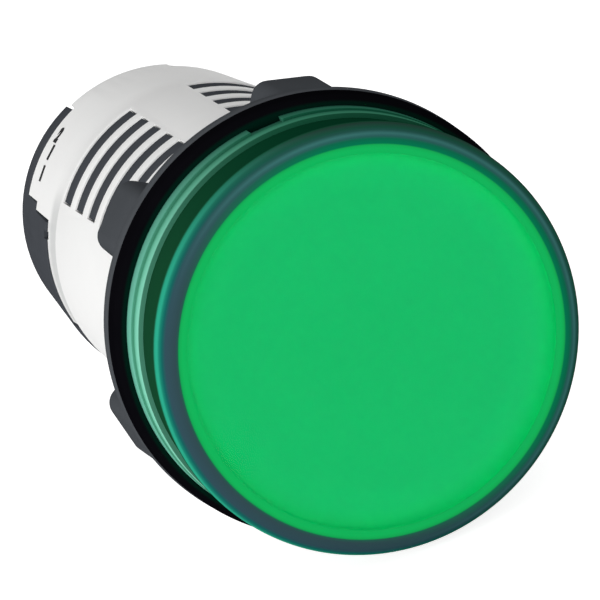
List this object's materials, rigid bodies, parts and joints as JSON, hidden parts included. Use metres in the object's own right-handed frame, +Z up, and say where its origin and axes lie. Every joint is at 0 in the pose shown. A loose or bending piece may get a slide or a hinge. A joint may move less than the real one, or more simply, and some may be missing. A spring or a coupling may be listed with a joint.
{
  "type": "panel pilot light",
  "caption": "Round green panel pilot light with a black bezel, a lobed fixing nut on a threaded neck, a slotted white body and rear screw terminals.",
  "frame": {"origin": "on the lamp's axis, at the front face of the panel it is mounted in, which is the back of the panel gasket", "axes": "+Y along the axis to the rear, so the lens looks along -Y; +Z is up, at the notch in the rear rib of the lens; +X to the right as seen from the front"},
  "size_m": [0.0292, 0.0522, 0.0292],
  "materials": {
    "lens_green": "clear moulded, polished",
    "diffuser_green": "milky moulded, smooth",
    "seal_rubber": "matt",
    "bezel_black": "fine satin moulding",
    "gasket_rubber": "matt",
    "nut_grey": "fine satin moulding",
    "housing_white": "fine satin moulding",
    "block_grey": "fine satin moulding",
    "led_board_white": "white solder mask",
    "driver_board_green": "green solder mask",
    "led_package": "white package with clear yellowish fill",
    "tinned_wire": "tinned",
    "resistor_body": "lacquered, with plain bands",
    "package_black": "moulded package",
    "capacitor_sleeve": "shrunk sleeve",
    "absorber_blue": "dipped coating",
    "contact_brass": "plain",
    "saddle_steel": "plated",
    "screw_steel": "plated"
  },
  "bodies": {
    "lamp": {"lens": "lens_green", "diffuser": "diffuser_green", "lens_seal": "seal_rubber", "bezel": "bezel_black", "panel_gasket": "gasket_rubber", "housing": "housing_white", "terminal_block": "block_grey", "led_board": "led_board_white", "led_1": "led_package", "led_2": "led_package", "led_3": "led_package", "led_4": "led_package", "driver_board": "driver_board_green", "board_link_left": "tinned_wire", "board_link_right": "tinned_wire", "dropper_resistor_left": "resistor_body", "dropper_resistor_right": "resistor_body", "rectifier": "package_black", "smoothing_capacitor": "capacitor_sleeve", "surge_absorber": "absorber_blue", "contact_strip_left": "contact_brass", "contact_strip_right": "contact_brass"},
    "nut": {"fixing_nut": "nut_grey"},
    "saddle_left": {"clamp_saddle_left": "saddle_steel"},
    "saddle_right": {"clamp_saddle_right": "saddle_steel"},
    "screw_left": {"terminal_screw_left": "screw_steel"},
    "screw_right": {"terminal_screw_right": "screw_steel"}
  },
  "joints": [
    {"name": "nut_travel", "type": "slide", "parent": "lamp", "child": "nut", "axis": [0, 1, 0], "range_m": [0, 0.0425]},
    {"name": "saddle_left_travel", "type": "slide", "parent": "lamp", "child": "saddle_left", "axis": [0, -1, 0], "range_m": [0, 0.0019]},
    {"name": "saddle_right_travel", "type": "slide", "parent": "lamp", "child": "saddle_right", "axis": [0, -1, 0], "range_m": [0, 0.0019]},
    {"name": "screw_left_turn", "type": "hinge", "parent": "saddle_left", "child": "screw_left", "pos_m": [-0.00481, 0.0377, 0], "axis": [0, -1, 0], "range_deg": [0, 1370]},
    {"name": "screw_right_turn", "type": "hinge", "parent": "saddle_right", "child": "screw_right", "pos_m": [0.00481, 0.0377, 0], "axis": [0, -1, 0], "range_deg": [0, 1370]}
  ],
  "couplings": [
    {"joint": "screw_left_turn", "follows": "saddle_left_travel", "rad_per_m": 12566},
    {"joint": "screw_right_turn", "follows": "saddle_right_travel", "rad_per_m": 12566}
  ]
}
